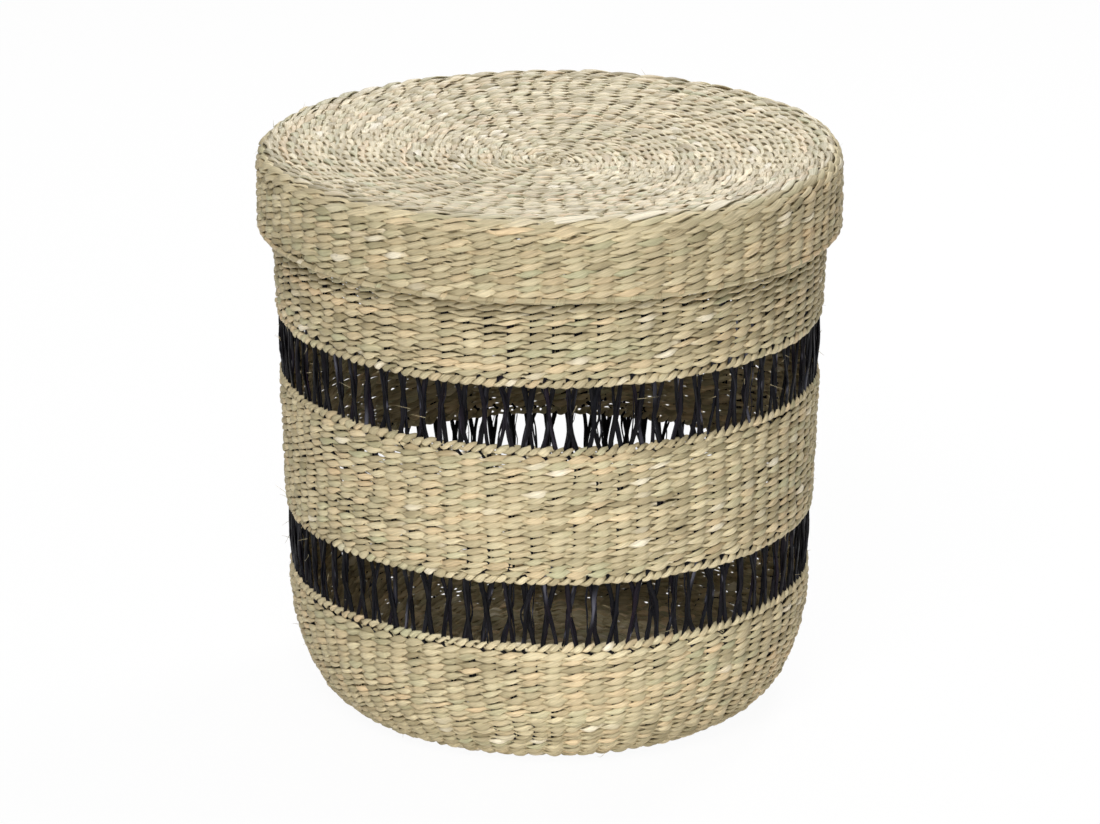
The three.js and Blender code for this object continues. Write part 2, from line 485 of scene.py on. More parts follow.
def twined_row(bundle, outline, run, row, stitches, phase=WALL_PHASE, size=1.0, lean=1.0,
               breadth=WALL_BREADTH, looseness=LOOSENESS, plumpness=1.0, bulge=BULGE_SPREAD,
               girth_spread=0.0, crossing_share=CROSSING_WIDTH_SHARE, dip=0.0, jitter=STITCH_JITTER,
               lightness=0.0):
    """Two strands that twist round each other once in every two stitches."""
    place, along, outward = outline.at(run)
    hand = outline.side
    steps = stitches * STITCH_STEPS
    for partner in (0, 1):
        # A strand's ends meet on the inner face, where it passes behind a stitch
        first = 1 - partner
        place_in_row = first + np.arange(steps) / STITCH_STEPS

        def uneven(middle, spread, where=0):
            return ring_value(rng.normal(middle, spread, stitches), place_in_row + where)

        lengths = max(3, stitches // STITCHES_PER_TINT)
        girth = ring_value(rng.normal(1, GIRTH_SPREAD, lengths), place_in_row / stitches * lengths)
        girth = girth * uneven(1, girth_spread)
        even_angle = (place_in_row + phase) * 2 * math.pi / stitches
        shuffle = COLUMN_WANDER * column_wander.at(even_angle, row) + uneven(0, jitter)
        angle = even_angle + shuffle * 2 * math.pi / stitches
        turn = math.pi * (place_in_row + partner)
        facing = END_TILT * np.sin(turn)
        quick_drift = QUICK_WANDER_SHARE * quick_wander.at(angle, row)
        drift = ROW_WANDER * (slow_wander.at(angle, row) + quick_drift)
        loose = LOOSE_PLACES_SHARE * loose_places.at(angle, row) + uneven(0, LOOSE_STITCH_SPREAD, 0.5)
        slack = looseness * np.clip(loose, *SLACK_LIMITS)
        front = np.cos(turn)
        side = np.sin(turn)
        out = plumpness * TWIST_DEPTH * front + uneven(0, bulge)
        crossing = side ** CROSSING_SHARPNESS
        rise = hand * size * lean * TWIST_RISE * side + uneven(0, RISE_SPREAD) + drift + dip * crossing
        out_of_round = wall_wander(angle, place[1])
        radius = place[0] + along[0] * rise + outward[0] * (out + out_of_round)
        # The wall drifts sideways and up, and never down through the floor
        height = place[1] + along[1] * rise + outward[1] * out + max(0, outward[1]) * out_of_round
        path = np.stack([radius * np.cos(angle), radius * np.sin(angle), height], axis=1)
        across = outward[0] * np.cos(facing) + along[0] * hand * np.sin(facing)
        up = outward[1] * np.cos(facing) + along[1] * hand * np.sin(facing)
        thin = np.stack([across * np.cos(angle), across * np.sin(angle), up], axis=1)
        forward = directions(path, True)
        wide = np.cross(thin, forward)
        wide /= np.linalg.norm(wide, axis=1)[:, None]
        thin = np.cross(forward, wide)
        end_share = uneven(crossing_share, CROSSING_WIDTH_SPREAD, 0.5)
        half_width = STRAND_HALF_WIDTH * (size - (size - end_share) * crossing)
        half_width = half_width * breadth * girth * uneven(1, WIDTH_SPREAD) * (1 - slack)
        squeeze = ((1 - CROSSING_THICKNESS_SHARE) * crossing
                   * np.clip(1 + SLACK_SQUEEZE * slack, *SQUEEZE_LIMITS))
        half_thickness = plumpness * girth * STRAND_HALF_THICKNESS * (1 - squeeze)
        creases = 1 + np.stack([uneven(0, CREASE_SPREAD) for _ in range(SECTION_STEPS)], axis=1)
        tint = strand_tint(stitches, place_in_row) + [lightness, 0, 0]
        bundle.tube(path, wide, thin, half_width, half_thickness, angle * place[0], tint, True, creases)


def stitches_for(radius):
    """Stitches of a ring. Strands are added at a few radii only, so stitches line up between these."""
    return max(stitches for start, stitches in RING_STITCHES if radius >= start)


def woven_rows(bundle, outline, start, end, first_row, stitches=None, edged=(), pitch=ROW_PITCH,
               **options):
    """Rows between two runs along an outline, each a little wider or narrower than the next.

    edged names the rows, first or last, that lie beside a band and draw away from it between stitches.
    """
    count = round((end - start) / pitch)
    sizes = rng.normal(1, ROW_SIZE_SPREAD, count)
    edges = start + (end - start) * np.concatenate([[0], np.cumsum(sizes)]) / sizes.sum()
    for i in range(count):
        run = (edges[i] + edges[i + 1]) / 2
        radius = outline.at(run)[0][0]
        size = min(1.0, START_SIZE + radius / START_SIZE_REACH) * (edges[i + 1] - edges[i]) / pitch
        edge = {}
        if "first" in edged and i == 0:
            edge = {"crossing_share": EDGE_ROW_CROSSING_SHARE, "dip": EDGE_ROW_DIP}
        elif "last" in edged and i == count - 1:
            edge = {"crossing_share": EDGE_ROW_CROSSING_SHARE, "dip": -EDGE_ROW_DIP}
        twined_row(bundle, outline, run, first_row + i, stitches or stitches_for(radius),
                   size=size, **{**options, **edge})
    return first_row + count


# Materials

FIBRE_SCALE = (70, 2600, 2600)
STREAK_SCALE = (25, 900, 900)
BLOTCH_SCALE = (140, 260, 260)
NOISE_MIDDLE = (0.3, 0.7)
ROUGHNESS_SPREAD = 0.08
FLECK_SHARE = 0.35
FLECK_DARKNESS = 0.45
FIBRE_BUMP = 0.7
FOLD_BUMP = 0.8
FOLD_DEPTH_RATIO = 2.5


def node(tree, kind, **values):
    made = tree.nodes.new(kind)
    for key, value in values.items():
        if hasattr(made, key):
            setattr(made, key, value)
        else:
            made.inputs[key].default_value = value
    return made


def stretched_noise(tree, coordinates, scale, detail=3.0, roughness=0.6):
    """Noise drawn out along the strand.

    scale is how often it changes along, across and through the strand, per metre.
    """
    stretch = node(tree, "ShaderNodeVectorMath", operation="MULTIPLY")
    stretch.inputs[1].default_value = scale
    noise = node(tree, "ShaderNodeTexNoise")
    noise.inputs["Scale"].default_value = 1.0
    noise.inputs["Detail"].default_value = detail
    noise.inputs["Roughness"].default_value = roughness
    tree.links.new(coordinates, stretch.inputs[0])
    tree.links.new(stretch.outputs[0], noise.inputs["Vector"])
    return noise.outputs["Fac"]


def remap(tree, value, start, end, low_value, high_value):
    """Value that goes from one end of a range to the other as the input does."""
    made = node(tree, "ShaderNodeMapRange")
    tree.links.new(value, made.inputs["Value"])
    made.inputs["From Min"].default_value = start
    made.inputs["From Max"].default_value = end
    made.inputs["To Min"].default_value = low_value
    made.inputs["To Max"].default_value = high_value
    return made.outputs["Result"]


def mix(tree, amount, first, second, blend="MIX"):
    """Colour mix. Each of its three values is a socket or a plain value."""
    made = node(tree, "ShaderNodeMix", data_type="RGBA", blend_type=blend)
    for socket, value in ((made.inputs[0], amount), (made.inputs[6], first), (made.inputs[7], second)):
        if hasattr(value, "is_output"):
            tree.links.new(value, socket)
        else:
            socket.default_value = value
    return made.outputs[2]


def grey(tree, value):
    """Grey of that value."""
    made = node(tree, "ShaderNodeCombineColor")
    for socket in made.inputs[:3]:
        tree.links.new(value, socket)
    return made.outputs[0]


def grass(name, dark, light, warm, green, cream, light_streaks_and_sheen, roughness, gloss, fibre_depth):
    """Grass strand: its own tint, fibres drawn out along it, blotches and small brown flecks."""
    material = bpy.data.materials.new(name)
    material.use_nodes = True
    tree = material.node_tree
    tree.nodes.clear()
    grain = node(tree, "ShaderNodeAttribute", attribute_name="grain").outputs["Vector"]
    tint = node(tree, "ShaderNodeAttribute", attribute_name="tint")
    parts = node(tree, "ShaderNodeSeparateXYZ")
    tree.links.new(tint.outputs["Vector"], parts.inputs[0])
    shade, warmth, creaminess = parts.outputs
    fibres = stretched_noise(tree, grain, FIBRE_SCALE)
    streaks = stretched_noise(tree, grain, STREAK_SCALE, 2.0)
    blotches = stretched_noise(tree, grain, BLOTCH_SCALE, 2.0)
    colour = mix(tree, remap(tree, shade, 0.05, 0.95, 0, 1), dark, light)
    colour = mix(tree, remap(tree, warmth, 0.2, 1.3, 0, 0.8), colour, warm)
    colour = mix(tree, remap(tree, warmth, -0.25, -1.3, 0, 0.8), colour, green)
    colour = mix(tree, remap(tree, creaminess, 0.1, 1, 0, 1), colour, cream)
    streak_light = grey(tree, remap(tree, streaks, *NOISE_MIDDLE, 0.82, 1.12))
    colour = mix(tree, 1.0, colour, streak_light, "MULTIPLY")
    fibre_light = grey(tree, remap(tree, fibres, *NOISE_MIDDLE, 0.83, 1.11))
    colour = mix(tree, 1.0, colour, fibre_light, "MULTIPLY")
    # Streaks mixed toward the cream colour: lighter fibres on the undyed grass, and on the dyed grass a
    # painted sheen of bluish-grey highlights
    colour = mix(tree, remap(tree, streaks, 0.6, 0.78, 0, light_streaks_and_sheen), colour, cream)
    flecks = remap(tree, blotches, 0.66, 0.76, 0, FLECK_SHARE)
    colour = mix(tree, flecks, colour, [c * FLECK_DARKNESS for c in dark[:3]] + [1])
    shader = node(tree, "ShaderNodeBsdfPrincipled")
    tree.links.new(colour, shader.inputs["Base Color"])
    uneven_gloss = remap(tree, fibres, *NOISE_MIDDLE,
                         roughness + ROUGHNESS_SPREAD, roughness - ROUGHNESS_SPREAD)
    tree.links.new(uneven_gloss, shader.inputs["Roughness"])
    shader.inputs["Specular IOR Level"].default_value = gloss
    folds = node(tree, "ShaderNodeBump")
    folds.inputs["Strength"].default_value = FOLD_BUMP
    folds.inputs["Distance"].default_value = FOLD_DEPTH_RATIO * fibre_depth
    tree.links.new(streaks, folds.inputs["Height"])
    bump = node(tree, "ShaderNodeBump")
    bump.inputs["Strength"].default_value = FIBRE_BUMP
    bump.inputs["Distance"].default_value = fibre_depth
    tree.links.new(fibres, bump.inputs["Height"])
    tree.links.new(folds.outputs[0], bump.inputs["Normal"])
    tree.links.new(bump.outputs[0], shader.inputs["Normal"])
    output = node(tree, "ShaderNodeOutputMaterial")
    tree.links.new(shader.outputs[0], output.inputs[0])
    return material


natural = grass(
    "natural_grass",
    dark=(0.335, 0.275, 0.154, 1),
    light=(0.735, 0.63, 0.403, 1),
    warm=(0.775, 0.58, 0.346, 1),
    green=(0.48, 0.465, 0.285, 1),
    cream=(0.86, 0.78, 0.6, 1),
    light_streaks_and_sheen=0.2, roughness=0.6, gloss=0.3, fibre_depth=0.3 * MM)
pale = grass(
    "pale_grass",
    dark=(0.37, 0.312, 0.19, 1),
    light=(0.90, 0.79, 0.56, 1),
    warm=(0.80, 0.61, 0.4, 1),
    green=(0.54, 0.53, 0.35, 1),
    cream=(0.88, 0.81, 0.66, 1),
    light_streaks_and_sheen=0.2, roughness=0.45, gloss=0.6, fibre_depth=0.3 * MM)
# Dyed grass: its bluish-grey cream colour, laid on along the streaks, is a painted sheen of highlights on
# the black strands
dyed = grass(
    "dyed_grass",
    dark=(0.0018, 0.0016, 0.0021, 1),
    light=(0.0075, 0.0068, 0.0092, 1),
    warm=(0.014, 0.008, 0.016, 1),
    green=(0.005, 0.006, 0.011, 1),
    cream=(0.1, 0.1, 0.125, 1),
    light_streaks_and_sheen=0.35, roughness=0.4, gloss=0.1, fibre_depth=0.7 * MM)


# Body

def rows_of(outline, name, nodes, look, slot_name, body, start, end, row, **options):
    """Pieces of woven rows between two runs along an outline. Gives the number of the next row."""
    bundle = Bundle()
    last = woven_rows(bundle, outline, start, end, row, **options)
    bundle.make(name, look, body, nodes)
    return last


row = rows_of(base_outline, "base_rows", ["base_weave"], natural, "seagrass_natural", "basket",
              BASE_START_RUN, base_outline.total, 0, plumpness=BASE_PLUMPNESS)
row = rows_of(corner_outline, "corner_rows", ["lower_wall_weave"], natural, "seagrass_natural",
              "basket", 0, corner_outline.total, row, stitches=PAIRS, edged=("last",))

BANDS = ("lower_openwork", "upper_openwork")
band_edges = {}
for band in BANDS:
    bottom, top = low[band].z, high[band].z
    outline = wall_outline(bottom, top)
    bundle = Bundle()
    inset = COURSE_HEIGHT / 2 + COURSE_OFFSET
    for run in (inset, outline.total - inset):
        twined_row(bundle, outline, run, row, 2 * PAIRS, phase=COURSE_PHASE, size=COURSE_SIZE,
                   lean=COURSE_LEAN, breadth=1.0, plumpness=COURSE_PLUMPNESS,
                   crossing_share=COURSE_CROSSING_SHARE)
        row += 1
    bundle.make(f"{band}_courses", natural, "basket", [band])
    band_edges[band] = (bottom + COURSE_HEIGHT, top - COURSE_HEIGHT)

for part, pitch, looseness, edged in (
        ("middle_wall_weave", ROW_PITCH, LOOSENESS, ("first", "last")),
        ("upper_wall_weave", UPPER_ROW_PITCH, UPPER_LOOSENESS, ("first",))):
    outline = wall_outline(low[part].z, high[part].z)
    row = rows_of(outline, part.replace("weave", "rows"), [part], natural, "seagrass_natural",
                  "basket", 0, outline.total, row, stitches=PAIRS, pitch=pitch, looseness=looseness,
                  edged=edged)


# Black upright strands, which cross in each openwork band

def upright_heights():
    """Stations from the corner up to the mouth, close together in the bands."""
    stations = []
    for band in BANDS:
        bottom, top = band_edges[band]
        stations += list(np.linspace(bottom - COURSE_HEIGHT, top + COURSE_HEIGHT, BAND_STATIONS))
    stations += list(np.arange(foot_height + 1 * MM, stations[0] - 1 * MM, SHORT_STATION_GAP))
    middle_bottom, middle_top = low["middle_wall_weave"].z, high["middle_wall_weave"].z
    stations += list(np.arange(middle_bottom + 3 * MM, middle_top - 2 * MM, STATION_GAP))
    upper_bottom, upper_top = low["upper_wall_weave"].z, high["upper_wall_weave"].z
    stations += list(np.arange(upper_bottom + 3 * MM, upper_top, STATION_GAP))
    return np.array(sorted(stations))


def upright_route(lean, cross, front):
    """Side offset, outward offset and section at stations along one strand of a pair."""
    start_run = corner_outline.total * UPRIGHT_START_SHARE
    corner_runs = np.linspace(start_run, corner_outline.total, CORNER_STATIONS)
    corner_places = np.array([corner_outline.at(run)[0] for run in corner_runs])
    heights = upright_heights()
    radii = np.concatenate([corner_places[:, 0], wall_radius(heights)])
    levels = np.concatenate([corner_places[:, 1], heights])
    in_wall = WALL_PHASE * 2 * math.pi / PAIRS * radii + PAIR_HALF_GAP * lean
    side = in_wall
    out = np.zeros(len(levels))
    width = np.full(len(levels), UPRIGHT_HALF_WIDTH)
    thickness = np.full(len(levels), UPRIGHT_HALF_THICKNESS)
    for band in BANDS:
        bottom, top = band_edges[band]
        share = (levels - bottom) / (top - bottom)
        from_ends = np.minimum(share + HOLD_SHARE, 1 + HOLD_SHARE - share)
        inside = eased(np.clip(from_ends / HOLD_BLEND, 0, 1))
        centre, bottom_spread, top_spread, tightness, shift = cross[band]
        below = np.clip((centre - share) / centre, 0, FURTHEST_SPREAD)
        above = np.clip((share - centre) / (1 - centre), 0, FURTHEST_SPREAD)
        spread = top_spread * above ** tightness - bottom_spread * below ** tightness
        near = np.clip(1 - np.abs(share - centre) * 2, 0, 1)
        side = side * (1 - inside) + (lean * spread + shift * near) * inside
        side = np.where((share > centre) & (inside <= 0), in_wall, side)
        out += front * lean * CROSSING_OFFSET * eased(near) * inside
        width = width + (BAND_HALF_WIDTH - UPRIGHT_HALF_WIDTH) * inside
        thickness = thickness + (BAND_HALF_THICKNESS - UPRIGHT_HALF_THICKNESS) * inside
    return radii, levels, side, out, width, thickness


def ribbon(bundle, centre_angle, radii, levels, side, out, width, thickness, twist):
    """A flat upright strand that follows the wall and turns a little about its own length."""
    count = len(levels)
    angle = centre_angle + side / np.maximum(radii, base_radius)
    drift = np.array([wall_wander(np.array([a]), h)[0] for a, h in zip(angle, levels)])
    reach = radii + out + drift
    path = np.stack([reach * np.cos(angle), reach * np.sin(angle), levels], axis=1)
    forward = directions(path, False)
    roll = ring_value(rng.normal(0, twist, 12), np.linspace(0, 9, count))
    outward = np.stack([np.cos(angle), np.sin(angle), np.zeros(count)], axis=1)
    sideways = np.cross(forward, outward)
    sideways /= np.linalg.norm(sideways, axis=1)[:, None]
    outward = np.cross(sideways, forward)
    wide = sideways * np.cos(roll)[:, None] + outward * np.sin(roll)[:, None]
    thin = outward * np.cos(roll)[:, None] - sideways * np.sin(roll)[:, None]
    knots = np.linspace(0, RIBBON_KNOTS - 2, count)
    uneven = ring_value(rng.normal(1, RIBBON_WIDTH_SPREAD, RIBBON_KNOTS), knots)
    length = np.concatenate([[0], np.cumsum(np.linalg.norm(np.diff(path, axis=0), axis=1))])
    tint = short_tint(count)
    folds = 1 + np.stack([ring_value(rng.normal(0, FOLD_SPREAD, RIBBON_KNOTS), knots)
                          for _ in range(SECTION_STEPS)], axis=1)
    bundle.tube(path, wide, thin, width * uneven, thickness, length, tint, False, folds)


def dyed_pair(bundle, pair):
    """Two strands that cross once in each band, with the slivers that have split off them there."""
    centre_angle = pair * 2 * math.pi / PAIRS
    cross = {band: (rng.uniform(*CROSSING_PLACES), rng.normal(*BOTTOM_SPREAD) * MM,
                    rng.normal(*TOP_SPREAD) * MM, rng.uniform(*TIGHTNESS),
                    rng.normal(0, CROSSING_SHIFT) * MM)
             for band in BANDS}
    front = rng.choice((-1, 1))
    for lean in (-1, 1):
        radii, levels, side, out, width, thickness = upright_route(lean, cross, front)
        ribbon(bundle, centre_angle, radii, levels, side, out, width, thickness, STRAND_ROLL)
        for band in BANDS:
            bottom, top = band_edges[band]
            part = (levels > bottom - 2 * MM) & (levels < top + 2 * MM)
            count = part.sum()
            aside = rng.choice((-1, 1)) * rng.uniform(*SPLIT_DISTANCES) * MM
            sway = ring_value(rng.normal(0, 0.5, 6), np.linspace(0, 4, count)) * MM
            ribbon(bundle, centre_angle, radii[part], levels[part], side[part] + aside + sway,
                   out[part] + rng.normal(0, 0.35) * MM, np.full(count, SPLIT_HALF_WIDTH),
                   np.full(count, SPLIT_HALF_THICKNESS), SPLIT_ROLL)


def stray_fibre(bundle):
    """A thin sliver that has come away from a dyed strand."""
    count = STRAY_STEPS
    bottom, top = band_edges[BANDS[rng.integers(2)]]
    levels = np.linspace(bottom - 1 * MM, top + 1 * MM, count)
    share = np.linspace(0, 1, count)
    centre_angle = rng.integers(PAIRS) * 2 * math.pi / PAIRS
    start_side, end_side = rng.choice((-1, 1), 2) * rng.uniform(*STRAY_DISTANCES, 2) * MM
    sway = ring_value(rng.normal(0, 0.9, 6), share * 4) * MM * np.sin(math.pi * share)
    side = start_side + (end_side - start_side) * share ** rng.uniform(0.6, 1.8) + sway
    out = rng.uniform(-1.3, 1.8) * MM * np.sin(math.pi * share)
    width = np.full(count, STRAY_HALF_WIDTH * rng.uniform(0.5, 1.8))
    ribbon(bundle, centre_angle, wall_radius(levels), levels, side, out, width,
           np.full(count, STRAY_HALF_THICKNESS), STRAY_ROLL)


uprights = Bundle()
for pair in range(PAIRS):
    dyed_pair(uprights, pair)
for _ in range(STRAY_FIBRES):
    stray_fibre(uprights)
uprights.make("dyed_uprights", dyed, "basket", ["lower_openwork", "upper_openwork"])


# Lid

bend_run = lid_outline.total - (crest_height - SHOULDER_RADIUS - skirt_end) - shoulder * math.pi / 2
shoulder_run = bend_run - SHOULDER_START
lid_top = {"bulge": LID_BULGE_SPREAD, "looseness": LID_LOOSENESS, "plumpness": LID_PLUMPNESS,
           "lean": LID_LEAN, "breadth": LID_BREADTH, "crossing_share": LID_CROSSING_SHARE,
           "jitter": LID_JITTER}
row = rows_of(lid_outline, "lid_start_rows", ["lid_start_button"], pale, "seagrass_pale",
              "lid", LID_START_RUN, start_radius, row, **lid_top)
row = rows_of(lid_outline, "lid_top_rows", ["lid_top_weave"], pale, "seagrass_pale",
              "lid", start_radius, shoulder_run, row, **lid_top)
for name, look, slot_name, rows in (
        ("lid_inner_shoulder_rows", pale, "seagrass_pale", INNER_SHOULDER_ROWS),
        ("lid_outer_shoulder_rows", natural, "seagrass_natural", OUTER_SHOULDER_ROWS)):
    bundle = Bundle()
    for pitch, stitches, lightness in rows:
        twined_row(bundle, lid_outline, shoulder_run + pitch / 2, row, stitches,
                   size=pitch / ROW_PITCH, lean=SHOULDER_LEAN, looseness=LID_LOOSENESS,
                   plumpness=SHOULDER_PLUMPNESS, girth_spread=SHOULDER_GIRTH_SPREAD,
                   crossing_share=SHOULDER_CROSSING_SHARE, lightness=lightness)
        shoulder_run += pitch
        row += 1
    bundle.make(name, look, "lid", ["lid_skirt_weave"])
skirt_rows_start = shoulder_run


def broad_leaf(bundle, degrees, half_length, half_width):
    """A strand that lies unrolled over the shoulder, and dives under its neighbours at both ends."""
    share = np.linspace(-1, 1, BROAD_LEAF_STEPS)
    middle_run = bend_run + shoulder * math.pi / 8
    stations = [lid_outline.at(middle_run - BROAD_LEAF_DROP * s) for s in share]
    radii = np.array([s[0][0] for s in stations])
    levels = np.array([s[0][1] for s in stations])
    outward = np.array([s[2] for s in stations])
    lift = (BROAD_LEAF_ENDS_LIFT + BROAD_LEAF_ARCH * (1 - share ** 4)) * MM
    angle = math.radians(degrees) + share * half_length / radii
    reach = radii + outward[:, 0] * lift
    path = np.stack([reach * np.cos(angle), reach * np.sin(angle), levels + outward[:, 1] * lift], axis=1)
    thin = np.stack([outward[:, 0] * np.cos(angle), outward[:, 0] * np.sin(angle), outward[:, 1]], axis=1)
    forward = directions(path, False)
    wide = np.cross(thin, forward)
    wide /= np.linalg.norm(wide, axis=1)[:, None]
    widths = half_width * np.maximum(BROAD_LEAF_TIP, 1 - share ** 2) ** 0.6
    tint = np.stack([0.75 + 0.1 * share, 0.1 - 0.2 * share, 1 - 0.15 * share ** 2], axis=1)
    bundle.tube(path, wide, np.cross(forward, wide), widths, BROAD_LEAF_HALF_THICKNESS,
                share * half_length, tint, False)


broad_leaves = Bundle()
for leaf in BROAD_LEAVES:
    broad_leaf(broad_leaves, *leaf)
broad_leaves.make("lid_broad_leaves", natural, "lid", ["lid_skirt_weave"])
row = rows_of(lid_outline, "lid_skirt_rows", ["lid_skirt_weave"], natural, "seagrass_natural",
              "lid", shoulder_run, lid_outline.total, row, stitches=PAIRS, looseness=LID_LOOSENESS,
              lean=SKIRT_LEAN, crossing_share=SKIRT_CROSSING_SHARE)


# Flat strands that cross under the first rows of the base

def starting_cross(name, outline, look, body, nodes):
    bundle = Bundle()
    height = outline.at(CROSS_REACH / 2)[0][1]
    for strip in range(CROSS_STRIPS):
        turn = strip * math.pi / CROSS_STRIPS + rng.normal(0, 0.05)
        along = np.linspace(-CROSS_REACH, CROSS_REACH, CROSS_STEPS)
        aside = rng.normal(0, 0.5) * MM
        layer = (strip - (CROSS_STRIPS - 1) / 2) * CROSS_LAYER * MM
        level = height + layer + rng.normal(0, 0.05, CROSS_STEPS) * MM
        path = np.stack([along * math.cos(turn) - aside * math.sin(turn),
                         along * math.sin(turn) + aside * math.cos(turn), level], axis=1)
        forward = directions(path, False)
        upward = np.tile([0.0, 0.0, 1.0], (CROSS_STEPS, 1))
        wide = np.cross(upward, forward)
        bundle.tube(path, wide, np.cross(forward, wide), CROSS_HALF_WIDTH, CROSS_HALF_THICKNESS, along,
                    short_tint(CROSS_STEPS), False)
    bundle.make(name, look, body, nodes)


starting_cross("base_start_cross", base_outline, natural, "basket", ["base_weave"])


# Undyed strands in pairs, which the rows of the lid and of the base are twined round

def ring_spans(outline, last_radius):
    """Start, end and number of pairs of each stretch from the centre out to a radius."""
    starts = [start for start, _ in RING_STITCHES[1:] if start < last_radius]
    ends = starts[1:] + [last_radius]
    for start, end in zip(starts, ends):
        from_run, to_run = np.interp((start - SPOKE_OVERLAP, end), outline.points[:, 0], outline.lengths)
        yield from_run, to_run, stitches_for(start)


def spokes(name, outline, spans, nodes, look, body):
    """Pairs of strands along an outline. A span is a start and an end run and a number of pairs."""
    bundle = Bundle()
    for start, end, pairs in spans:
        steps = max(4, round((end - start) / SPOKE_STEP))
        runs = np.linspace(start, end, steps)
        stations = [outline.at(run) for run in runs]
        radii = np.array([s[0][0] for s in stations])
        levels = np.array([s[0][1] for s in stations])
        outward = np.array([s[2] for s in stations])
        for pair in range(pairs):
            for side in (-1, 1):
                angle = (pair + WALL_PHASE) * 2 * math.pi / pairs + side * PAIR_HALF_GAP / radii
                drift = wall_wander(angle, levels)
                reach = radii + outward[:, 0] * drift
                height = levels + np.maximum(0, outward[:, 1]) * drift
                path = np.stack([reach * np.cos(angle), reach * np.sin(angle), height], axis=1)
                forward = directions(path, False)
                wide = np.stack([-np.sin(angle), np.cos(angle), np.zeros(steps)], axis=1)
                bundle.tube(path, wide, np.cross(wide, forward), UPRIGHT_HALF_WIDTH,
                            UPRIGHT_HALF_THICKNESS, runs, short_tint(steps), False)
    bundle.make(name, look, body, nodes)


spokes("lid_spokes", lid_outline, ring_spans(lid_outline, crest_radius), ["lid_top_weave"], pale,
       "lid")
spokes("lid_uprights", lid_outline, [(skirt_rows_start, lid_outline.total, PAIRS)], ["lid_skirt_weave"],
       natural, "lid")
spokes("base_spokes", base_outline, ring_spans(base_outline, base_radius), ["base_weave"], natural,
       "basket")


# Bound hoops along the two free edges

def hoop(name, nodes, body, radius, bottom, top, half_depth):
    """Two strands laid round the edge and lashed down at every pair of uprights."""
    bundle = Bundle()
    middle = (bottom + top) / 2
    half_height = (top - bottom) / 2
    steps = PAIRS * STITCH_STEPS
    places = np.arange(steps) / STITCH_STEPS
    angle = places * 2 * math.pi / PAIRS
    around = np.stack([np.cos(angle), np.sin(angle), np.zeros(steps)], axis=1)
    upward = np.tile([0.0, 0.0, 1.0], (steps, 1))
    for out in (-0.5, 0.5):
        sag = ring_value(rng.normal(0, HOOP_SAG, PAIRS), places) * MM
        reach = radius + out * half_depth + wall_wander(angle, middle)
        path = around * reach[:, None] + upward * (middle + sag)[:, None]
        tint = strand_tint(PAIRS, places)
        bundle.tube(path, upward, around, half_height * HOOP_HEIGHT_SHARE, half_depth / 2,
                    angle * radius, tint, True)
    for pair in range(PAIRS):
        start = (pair + 0.5 + rng.normal(0, LASHING_JITTER)) * 2 * math.pi / PAIRS
        turn = np.linspace(0, 2 * math.pi, LASHING_STEPS, endpoint=False)
        lean = rng.normal(*LASHING_LEAN) * MM / radius
        angles = start + lean * np.sin(turn)
        depth = half_depth * LASHING_DEPTH_SHARE
        reach = radius + wall_wander(angles, middle) + depth * np.cos(turn)
        path = np.stack([reach * np.cos(angles), reach * np.sin(angles),
                         middle + half_height * LASHING_HEIGHT_SHARE * np.sin(turn)], axis=1)
        forward = directions(path, True)
        wide = np.stack([-np.sin(angles), np.cos(angles), np.zeros(LASHING_STEPS)], axis=1)
        thin = np.cross(forward, wide)
        thin /= np.linalg.norm(thin, axis=1)[:, None]
        tint = strand_tint(4, np.linspace(0, 3, LASHING_STEPS))
        bundle.tube(path, wide, thin, rng.uniform(*LASHING_HALF_WIDTHS) * MM, LASHING_HALF_THICKNESS,
                    turn * half_depth, tint, True)
    bundle.make(name, natural, body, nodes)


hoop("lid_border_hoop", ["lid_border"], "lid", lid_radius - half_wall,
     low["lid_border"].z, high["lid_border"].z + LID_HOOP_RISE, half_wall * LID_HOOP_DEPTH_SHARE)
hoop("rim_hoop", ["rim_border"], "basket", wall_radius(neck_height),
     low["rim_border"].z, high["rim_border"].z, half_wall)


# Short hairs that stand off the strands

def hairs(name, look, body, nodes, outline, count):
    bundle = Bundle()
    for _ in range(count):
        place, along, outward = outline.at(rng.uniform(0.02, 0.98) * outline.total)
        angle = rng.uniform(0, 2 * math.pi)
        length = rng.uniform(*HAIR_LENGTHS) * MM
        share = np.linspace(0, 1, HAIR_STEPS)
        around = rng.normal(0, 1) * length * share
        rise = rng.normal(0, 0.4) * length * share
        lift = HAIR_ROOT + (0.2 + abs(rng.normal(0, 0.35))) * length * share ** rng.uniform(0.8, 2)
        lift = lift + wall_wander(np.array([angle]), place[1])
        turned = angle + around / max(place[0], HAIR_LEAST_RADIUS)
        reach = place[0] + along[0] * rise + outward[0] * lift
        height = np.maximum(place[1] + along[1] * rise + outward[1] * lift, 2 * HAIR_HALF_WIDTH)
        path = np.stack([reach * np.cos(turned), reach * np.sin(turned), height], axis=1)
        forward = directions(path, False)
        wide = np.cross(forward, [0.3, 0.2, 1.0])
        wide /= np.linalg.norm(wide, axis=1)[:, None]
        half_width = HAIR_HALF_WIDTH * (HAIR_TAPER - share)
        bundle.tube(path, wide, np.cross(wide, forward), half_width, half_width, length * share,
                    strand_tint(4, share * 3), False)
    bundle.make(name, look, body, nodes)


body_outline = Outline([tuple(p) for p in corner_outline.points]
                       + [(wall_radius(h), h) for h in (foot_height, lid_bottom - 2 * MM)], 1)
hairs("body_hairs", natural, "basket", ["lower_wall_weave"], body_outline, HAIRS)
hairs("lid_hairs", pale, "lid", ["lid_skirt_weave"], lid_outline, HAIRS // 2)


# Stage: white floor and surround, soft lamps, and the photograph's camera

FLOOR_WHITE = (0.92, 0.92, 0.92, 1)
FLOOR_GLOW = 0.95
FLOOR_HALF = 6.0
FLOOR_DROP = 0.5 * MM
AMBIENT_STRENGTH = 0.19

